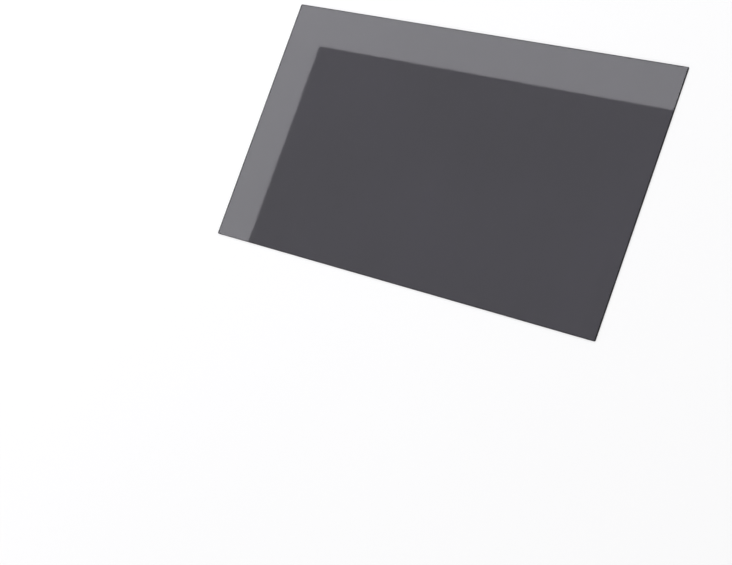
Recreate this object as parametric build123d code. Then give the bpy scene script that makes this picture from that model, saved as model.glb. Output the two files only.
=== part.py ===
from build123d import *
import os

# A privacy filter: one flat sheet of smoke-grey film, die-cut to the 15.6-inch size of the 16:9 format.
# It lies on its rear face. X runs along the long edge, Y up the short edge and Z out of the front face.
# The origin is the centre of the rear face, and every size is in millimetres.

sheet_width = 344.0  # long edge of the 15.6-inch size
sheet_height = 194.0  # short edge of the 15.6-inch size
sheet_thickness = 0.5  # louvre film and its two covers, bonded into one
corner_radius = 1.0  # corners of the outline
front_rim_round = 0.12  # the die rolls the front rim over as it goes in
rear_rim_round = 0.05  # the rim where the die comes out is left almost sharp
flat_edge_share = 0.2  # least share of the thickness that stays as an upright cut edge


def die_cut_blank():
    """The sheet as cut: a rectangle with rounded corners, at full thickness, with square rims."""
    outline = RectangleRounded(sheet_width, sheet_height, corner_radius)
    return extrude(outline, amount=sheet_thickness)


def rim_edges(sheet, which):
    """The closed loop of edges round the lowest face (which = 0) or the highest face (which = -1)."""
    return sheet.faces().sort_by(Axis.Z)[which].outer_wire().edges()


def filter_sheet():
    """The finished filter: the blank with its front rim rolled over and its rear rim just broken."""
    room_for_rounds = sheet_thickness * (1 - flat_edge_share)
    wanted_rounds = front_rim_round + rear_rim_round
    shrink = min(1.0, room_for_rounds / wanted_rounds)
    sheet = die_cut_blank()
    sheet = fillet(rim_edges(sheet, -1), front_rim_round * shrink)
    sheet = fillet(rim_edges(sheet, 0), rear_rim_round * shrink)
    return sheet


os.makedirs("parts", exist_ok=True)
export_step(filter_sheet(), "parts/filter_sheet.step")
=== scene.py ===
import math

import bpy
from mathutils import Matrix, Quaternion, Vector


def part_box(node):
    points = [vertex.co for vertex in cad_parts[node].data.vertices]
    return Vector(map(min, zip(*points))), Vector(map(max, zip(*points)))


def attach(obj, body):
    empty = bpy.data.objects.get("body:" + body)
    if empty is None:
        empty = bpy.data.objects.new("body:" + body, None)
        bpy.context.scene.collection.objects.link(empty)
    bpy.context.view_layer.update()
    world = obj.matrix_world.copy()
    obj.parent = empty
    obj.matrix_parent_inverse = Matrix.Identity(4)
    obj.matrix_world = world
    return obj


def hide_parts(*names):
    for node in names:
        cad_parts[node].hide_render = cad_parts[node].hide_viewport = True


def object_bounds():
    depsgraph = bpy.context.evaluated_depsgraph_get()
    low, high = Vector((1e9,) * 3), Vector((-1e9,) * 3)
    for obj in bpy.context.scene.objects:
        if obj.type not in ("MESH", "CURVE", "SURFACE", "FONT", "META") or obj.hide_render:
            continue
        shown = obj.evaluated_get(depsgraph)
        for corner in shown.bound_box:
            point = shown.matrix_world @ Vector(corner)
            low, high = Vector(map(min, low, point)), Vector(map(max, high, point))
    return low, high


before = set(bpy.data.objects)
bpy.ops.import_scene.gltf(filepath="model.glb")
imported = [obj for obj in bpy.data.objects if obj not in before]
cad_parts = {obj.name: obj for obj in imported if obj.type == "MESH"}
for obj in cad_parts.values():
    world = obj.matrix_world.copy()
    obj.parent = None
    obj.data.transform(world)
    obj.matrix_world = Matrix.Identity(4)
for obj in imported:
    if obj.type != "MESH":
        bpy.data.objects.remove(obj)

# lengths are in metres: X along the sheet's long edge, Y up its short edge, Z out of its front

cadLow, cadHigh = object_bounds()
scene = bpy.context.scene
scene.view_settings.view_transform = "Standard"
millimetres = [round((high - low) * 1000, 2) for low, high in zip(cadLow, cadHigh)]
print("frame loaded, sheet", millimetres, "mm")


# helpers for node trees

def putIn(tree, socket, value):
    # value is another node's output, or a plain number, colour or vector
    if isinstance(value, bpy.types.NodeSocket):
        tree.links.new(value, socket)
    else:
        socket.default_value = value


def addNode(tree, kind, inputs=(), **settings):
    # inputs go by their sockets' names, and settings are the node's own properties
    node = tree.nodes.new(kind)
    for name, value in settings.items():
        setattr(node, name, value)
    for name, value in dict(inputs).items():
        putIn(tree, node.inputs[name], value)
    return node


def calc(tree, operation, *values, clamp=False):
    node = addNode(tree, "ShaderNodeMath", operation=operation, use_clamp=clamp)
    for socket, value in zip(node.inputs, values):
        putIn(tree, socket, value)
    return node.outputs[0]


def mixColours(tree, share, first, second):
    node = addNode(tree, "ShaderNodeMix", data_type="RGBA")
    factor = node.inputs[0]
    colourA, colourB = [socket for socket in node.inputs if socket.type == "RGBA"]
    for socket, value in ((factor, share), (colourA, first), (colourB, second)):
        putIn(tree, socket, value)
    return [socket for socket in node.outputs if socket.type == "RGBA"][0]


noiseDetail = 2.0
noiseSpan = (0.3, 0.7)  # noise mostly stays inside this


def addNoise(tree, place, perMetre):
    inputs = {"Vector": place, "Scale": perMetre, "Detail": noiseDetail}
    return addNode(tree, "ShaderNodeTexNoise", inputs).outputs["Fac"]


def remap(tree, value, span, limits, curve="LINEAR"):
    inputs = {"Value": value, "From Min": span[0], "From Max": span[1],
              "To Min": limits[0], "To Max": limits[1]}
    return addNode(tree, "ShaderNodeMapRange", inputs, interpolation_type=curve).outputs[0]


def spread(tree, noise, limits):
    return remap(tree, noise, noiseSpan, limits)


def stretch(tree, place, scale):
    return addNode(tree, "ShaderNodeMapping", {"Vector": place, "Scale": scale}).outputs[0]


def addBump(tree, height, depth):
    return addNode(tree, "ShaderNodeBump", {"Height": height, "Distance": depth}).outputs[0]


def newMaterial(name):
    mat = bpy.data.materials.new(name)
    mat.use_nodes = True
    tree = mat.node_tree
    tree.nodes.clear()
    place = addNode(tree, "ShaderNodeTexCoord").outputs["Object"]
    return mat, tree, place


def finishMaterial(tree, inputs):
    shader = addNode(tree, "ShaderNodeBsdfPrincipled", inputs)
    addNode(tree, "ShaderNodeOutputMaterial", {"Surface": shader.outputs[0]})


# fine grain and cloudiness, shared by the film's faces and its cut edge

def makeGrainGroup():
    group = bpy.data.node_groups.new("filmGrain", "ShaderNodeTree")
    sockets = group.interface
    sockets.new_socket("Place", in_out="INPUT", socket_type="NodeSocketVector")
    for name in ("Grain", "Cloud"):
        sockets.new_socket(name + " Size", in_out="INPUT", socket_type="NodeSocketFloat")
        sockets.new_socket(name, in_out="OUTPUT", socket_type="NodeSocketFloat")
    given = group.nodes.new("NodeGroupInput").outputs
    out = group.nodes.new("NodeGroupOutput").inputs
    for name in ("Grain", "Cloud"):
        perMetre = calc(group, "DIVIDE", 1.0, given[name + " Size"])
        putIn(group, out[name], addNoise(group, given["Place"], perMetre))
    return group


grainGroup = makeGrainGroup()


def addGrain(tree, place, grainSize, cloudSize):
    inputs = {"Place": place, "Grain Size": grainSize, "Cloud Size": cloudSize}
    return addNode(tree, "ShaderNodeGroup", inputs, node_tree=grainGroup).outputs


film = {
    "smokeDark": (0.0265, 0.0245, 0.0335, 1),
    "smokePale": (0.035, 0.032, 0.0455, 1),
    "alpha": 0.64,  # each face, so about an eighth of the light passes both
    "ior": 1.50,
    "roughness": (0.012, 0.018),  # glossy, so that what it mirrors has clear edges
    "grainSize": 0.00035,
    "grainDepth": 0.0000003,
    "cloudSize": 0.11,
    "streakWidth": 0.0045,  # faint upright bands, where the louvres inside differ a little
    "streakStretch": 100,
    "streakShare": 0.5,  # of the change in tone, and the clouds have the rest
}


def makeFilmMaterial():
    mat, tree, place = newMaterial("smokeFilm")
    grain = addGrain(tree, place, film["grainSize"], film["cloudSize"])

    # the bands run up the sheet, so their noise is drawn out along Y
    drawnOut = stretch(tree, place, (1, 1 / film["streakStretch"], 1))
    streak = addNoise(tree, drawnOut, 1 / film["streakWidth"])
    streakTone = spread(tree, streak, (0, film["streakShare"]))
    cloudTone = spread(tree, grain["Cloud"], (0, 1 - film["streakShare"]))
    tone = calc(tree, "ADD", streakTone, cloudTone)
    finishMaterial(tree, {
        "Base Color": mixColours(tree, tone, film["smokeDark"], film["smokePale"]),
        "Roughness": spread(tree, grain["Grain"], film["roughness"]),
        "Normal": addBump(tree, grain["Grain"], film["grainDepth"]),
        "Alpha": film["alpha"],
        "IOR": film["ior"],
    })
    return mat


cutEdge = {
    "dark": (0.004, 0.004, 0.005, 1),
    "pale": (0.012, 0.012, 0.014, 1),
    "specular": 0.1,
    "roughness": (0.5, 0.7),
    "markWidth": 0.00025,  # upright marks that the blade leaves
    "markStretch": 20,
    "markDepth": 0.00002,
    "cloudSize": 0.02,
}


def makeEdgeMaterial():
    mat, tree, place = newMaterial("cutEdge")
    upright = stretch(tree, place, (1, 1, 1 / cutEdge["markStretch"]))
    grain = addGrain(tree, upright, cutEdge["markWidth"], cutEdge["cloudSize"])
    tone = spread(tree, grain["Grain"], (0, 1))
    finishMaterial(tree, {
        "Base Color": mixColours(tree, tone, cutEdge["dark"], cutEdge["pale"]),
        "Roughness": spread(tree, grain["Cloud"], cutEdge["roughness"]),
        "Normal": addBump(tree, grain["Grain"], cutEdge["markDepth"]),
        "Specular IOR Level": cutEdge["specular"],
    })
    return mat


filmMaterial = makeFilmMaterial()
edgeMaterial = makeEdgeMaterial()
print("film and cut edge materials made")


# the sheet: a drum's rings of points, each laid round a rounded rectangle and up the cut edge

sheet = {
    "cornerRadius": 0.0010,
    "frontRound": 0.00012,  # the die rolls the front rim over
    "rearRound": 0.00005,
    # a dark line on both faces along the cut, wider at the sides, where the black louvres run
    # beside it, than at the top and the bottom, where they end
    "sideRim": 0.00058,
    "endRim": 0.0003,
    "cornerPoints": 13,
    "roundSteps": 5,
}


def makeSheetTree():
    tree = bpy.data.node_groups.new("filterSheet", "GeometryNodeTree")
    sockets = {
        "NodeSocketFloat": ("Width", "Height", "Thickness", "Corner Radius", "Front Round",
                            "Rear Round", "Side Rim", "End Rim"),
        "NodeSocketInt": ("Corner Points", "Round Steps"),
        "NodeSocketMaterial": ("Film", "Cut Edge"),
    }
    for kind, names in sockets.items():
        for name in names:
            tree.interface.new_socket(name, in_out="INPUT", socket_type=kind)
    tree.interface.new_socket("Geometry", in_out="OUTPUT", socket_type="NodeSocketGeometry")
    given = tree.nodes.new("NodeGroupInput").outputs
    out = tree.nodes.new("NodeGroupOutput").inputs
    perCorner = given["Corner Points"]
    steps = given["Round Steps"]
    quarter = math.pi / 2
    halfStep = 0.5  # keeps a test between two points or two rings, clear of rounding

    # a drum, of which only the points' angles and levels are used
    cornerCount = 4
    roundCount = 2
    plainBands = 3  # the upright edge and the two dark rims
    drumDepth = 1.0
    perRing = calc(tree, "MULTIPLY", perCorner, cornerCount)
    segments = calc(tree, "MULTIPLY_ADD", steps, roundCount, plainBands)
    drum = addNode(tree, "GeometryNodeMeshCylinder", {
        "Vertices": perRing,
        "Side Segments": segments,
        "Radius": 1.0,
        "Depth": drumDepth,
    }, fill_type="NGON").outputs
    position = addNode(tree, "GeometryNodeInputPosition").outputs[0]
    point = addNode(tree, "ShaderNodeSeparateXYZ", {"Vector": position}).outputs

    # the corner that a point belongs to, and its direction from the centre of that corner
    turn = calc(tree, "DIVIDE", calc(tree, "ARCTAN2", point["Y"], point["X"]), math.tau)
    turn = calc(tree, "FLOORED_MODULO", turn, 1)
    count = calc(tree, "ROUND", calc(tree, "MULTIPLY", turn, perRing))
    count = calc(tree, "FLOORED_MODULO", count, perRing)
    corner = calc(tree, "DIVIDE", calc(tree, "ADD", count, halfStep), perCorner)
    corner = calc(tree, "FLOOR", corner)
    along = calc(tree, "SUBTRACT", count, calc(tree, "MULTIPLY", corner, perCorner))
    along = calc(tree, "DIVIDE", along, calc(tree, "SUBTRACT", perCorner, 1))
    direction = calc(tree, "MULTIPLY", calc(tree, "ADD", corner, along), quarter)
    diagonal = calc(tree, "MULTIPLY_ADD", corner, quarter, quarter / 2)

    # the ring's place in the section: rear rim, rear round, straight up, front round, front rim
    ring = calc(tree, "MULTIPLY", calc(tree, "ADD", point["Z"], drumDepth / 2), segments)
    ring = calc(tree, "ROUND", ring)
    level = calc(tree, "SUBTRACT", ring, 1)  # 0 where the rear round starts
    past = calc(tree, "SUBTRACT", level, calc(tree, "ADD", steps, 1))  # 0 where the front one does
    rear = calc(tree, "MULTIPLY", calc(tree, "DIVIDE", level, steps, clamp=True), quarter)
    front = calc(tree, "MULTIPLY", calc(tree, "DIVIDE", past, steps, clamp=True), quarter)
    upper = calc(tree, "GREATER_THAN", past, -halfStep)
    rearRim = calc(tree, "LESS_THAN", level, -halfStep)
    frontRim = calc(tree, "GREATER_THAN", past, calc(tree, "ADD", steps, halfStep))
    inner = calc(tree, "ADD", rearRim, frontRim)

    # how far in from the outline the ring lies, and how high
    rearInset = calc(tree, "SUBTRACT", 1, calc(tree, "SINE", rear))
    rearRise = calc(tree, "SUBTRACT", 1, calc(tree, "COSINE", rear))
    frontInset = calc(tree, "SUBTRACT", 1, calc(tree, "COSINE", front))
    frontRise = calc(tree, "SINE", front)
    inset = calc(tree, "MULTIPLY", rearInset, given["Rear Round"])
    inset = calc(tree, "MULTIPLY_ADD", frontInset, given["Front Round"], inset)
    rounds = calc(tree, "ADD", given["Rear Round"], given["Front Round"])
    straight = calc(tree, "SUBTRACT", given["Thickness"], rounds)
    rise = calc(tree, "MULTIPLY", rearRise, given["Rear Round"])
    rise = calc(tree, "MULTIPLY_ADD", upper, straight, rise)
    rise = calc(tree, "MULTIPLY_ADD", frontRise, given["Front Round"], rise)

    # each point goes out from its corner's centre, less far by a rim's width on the inner rings
    outer = calc(tree, "SUBTRACT", given["Corner Radius"], inset)
    spots = []
    for length, rim, trig in (("Width", "Side Rim", "COSINE"), ("Height", "End Rim", "SINE")):
        half = calc(tree, "DIVIDE", given[length], 2)
        centre = calc(tree, "SUBTRACT", half, given["Corner Radius"])
        side = calc(tree, "SIGN", calc(tree, trig, diagonal))
        reach = calc(tree, "SUBTRACT", outer, calc(tree, "MULTIPLY", inner, given[rim]))
        offset = calc(tree, "MULTIPLY", reach, calc(tree, trig, direction))
        spots.append(calc(tree, "MULTIPLY_ADD", centre, side, offset))
    spot = addNode(tree, "ShaderNodeCombineXYZ", {"X": spots[0], "Y": spots[1], "Z": rise})

    # the points put in place, the edge smoothed, then the film's and the edge's materials
    geometry = drum["Mesh"]
    for kind, inputs in (
        ("GeometryNodeSetPosition", {"Position": spot.outputs[0]}),
        ("GeometryNodeSetShadeSmooth", {"Selection": drum["Side"]}),
        ("GeometryNodeRealizeInstances", {}),
        ("GeometryNodeSetMaterial", {"Material": given["Film"]}),
        ("GeometryNodeSetMaterial", {"Selection": drum["Side"], "Material": given["Cut Edge"]}),
    ):
        geometry = addNode(tree, kind, {"Geometry": geometry, **inputs}).outputs[0]
    putIn(tree, out["Geometry"], geometry)
    return tree


def makeSheet():
    low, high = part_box("filter_sheet")
    tree = makeSheetTree()
    values = {
        "Width": high.x - low.x,
        "Height": high.y - low.y,
        "Thickness": high.z - low.z,
        "Corner Radius": sheet["cornerRadius"],
        "Front Round": sheet["frontRound"],
        "Rear Round": sheet["rearRound"],
        "Side Rim": sheet["sideRim"],
        "End Rim": sheet["endRim"],
        "Corner Points": sheet["cornerPoints"],
        "Round Steps": sheet["roundSteps"],
        "Film": filmMaterial,
        "Cut Edge": edgeMaterial,
    }
    blank = bpy.data.meshes.new("blank")
    piece = bpy.data.objects.new("privacy_film", blank)
    scene.collection.objects.link(piece)
    modifier = piece.modifiers.new("filterSheet", "NODES")
    modifier.node_group = tree
    for socket in tree.interface.items_tree:
        if socket.in_out == "INPUT":
            modifier[socket.identifier] = values[socket.name]
    solved = piece.evaluated_get(bpy.context.evaluated_depsgraph_get())
    mesh = bpy.data.meshes.new_from_object(solved)
    mesh.name = "privacy_film"
    piece.modifiers.clear()
    piece.data = mesh
    bpy.data.meshes.remove(blank)
    return piece


privacyFilm = makeSheet()
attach(privacyFilm, "root")
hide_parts("filter_sheet")
print("sheet made,", len(privacyFilm.data.polygons), "faces")


# pale floor, just under the sheet's rear face

floorLook = {
    "size": 8.0,
    "gap": 0.00002,
    "fade": (1.0, 3.5),  # away from the sheet, where the floor thins out into the pale room
    "tones": ((0.795, 0.795, 0.795, 1), (0.815, 0.815, 0.815, 1)),
    "cloudSize": 0.4,
    "roughness": 0.85,
}


def makeFloorMaterial():
    mat, tree, place = newMaterial("paleFloor")
    cloud = addNoise(tree, place, 1 / floorLook["cloudSize"])
    away = addNode(tree, "ShaderNodeVectorMath", {"Vector": place}, operation="LENGTH")
    finishMaterial(tree, {
        "Base Color": mixColours(tree, cloud, *floorLook["tones"]),
        "Roughness": floorLook["roughness"],
        "Alpha": remap(tree, away.outputs["Value"], floorLook["fade"], (1, 0), "SMOOTHSTEP"),
    })
    return mat


def makeFloor():
    half = floorLook["size"] / 2
    corners = [(x * half, y * half, 0) for x, y in ((-1, -1), (1, -1), (1, 1), (-1, 1))]
    mesh = bpy.data.meshes.new("floor")
    mesh.from_pydata(corners, [], [(0, 1, 2, 3)])
    mesh.materials.append(makeFloorMaterial())
    floor = bpy.data.objects.new("floor", mesh)
    floor.location.z = -floorLook["gap"]
    scene.collection.objects.link(floor)


makeFloor()


# soft studio light: a pale room, and two broad panels overhead that face straight down

light = {
    "roomTone": (1.0, 1.0, 1.0, 1),
    "roomStrength": 1.0,
    "panelTone": (1.0, 0.99, 1.04),  # a little cooler than the room
    "panels": {
        # the camera sees this one in the film as a paler band along the top edge
        "topPanel": {"place": (-1.85, 1.221, 2.5), "size": (2.9, 0.9), "power": 33.0},
        # and this one as a band along the left edge
        "leftPanel": {"place": (-2.757, 0.121, 2.5), "size": (0.9, 1.3), "power": 14.2},
    },
}


def makeLight():
    world = bpy.data.worlds.new("paleRoom")
    world.use_nodes = True
    background = world.node_tree.nodes["Background"].inputs
    background["Color"].default_value = light["roomTone"]
    background["Strength"].default_value = light["roomStrength"]
    scene.world = world
    for name, panel in light["panels"].items():
        lamp = bpy.data.lights.new(name, "AREA")
        lamp.shape = "RECTANGLE"
        lamp.size, lamp.size_y = panel["size"]
        lamp.energy = panel["power"]
        lamp.color = light["panelTone"]
        holder = bpy.data.objects.new(name, lamp)
        holder.location = panel["place"]
        scene.collection.objects.link(holder)


makeLight()


# the camera looks down on the sheet from its right, turned so that its top edge is uppermost

view = {
    "place": (0.66768, -0.19643, 0.93113),
    "aim": (-0.02027, -0.10162, 0.0),
    "roll": -64.04,  # degrees about the line of sight
    "lens": 78.61,  # mm, and so is the sensor's width
    "sensor": 36.0,
    "clip": (0.01, 200.0),
}


def makeCamera():
    data = bpy.data.cameras.new("camera")
    data.sensor_fit = "HORIZONTAL"
    data.sensor_width = view["sensor"]
    data.lens = view["lens"]
    data.clip_start, data.clip_end = view["clip"]
    camera = bpy.data.objects.new("camera", data)
    camera.location = view["place"]
    sight = (Vector(view["aim"]) - camera.location).to_track_quat("-Z", "Y")
    camera.rotation_mode = "QUATERNION"
    camera.rotation_quaternion = sight @ Quaternion((0, 0, 1), math.radians(view["roll"]))
    scene.collection.objects.link(camera)
    scene.camera = camera


makeCamera()
print("floor, light and camera set")
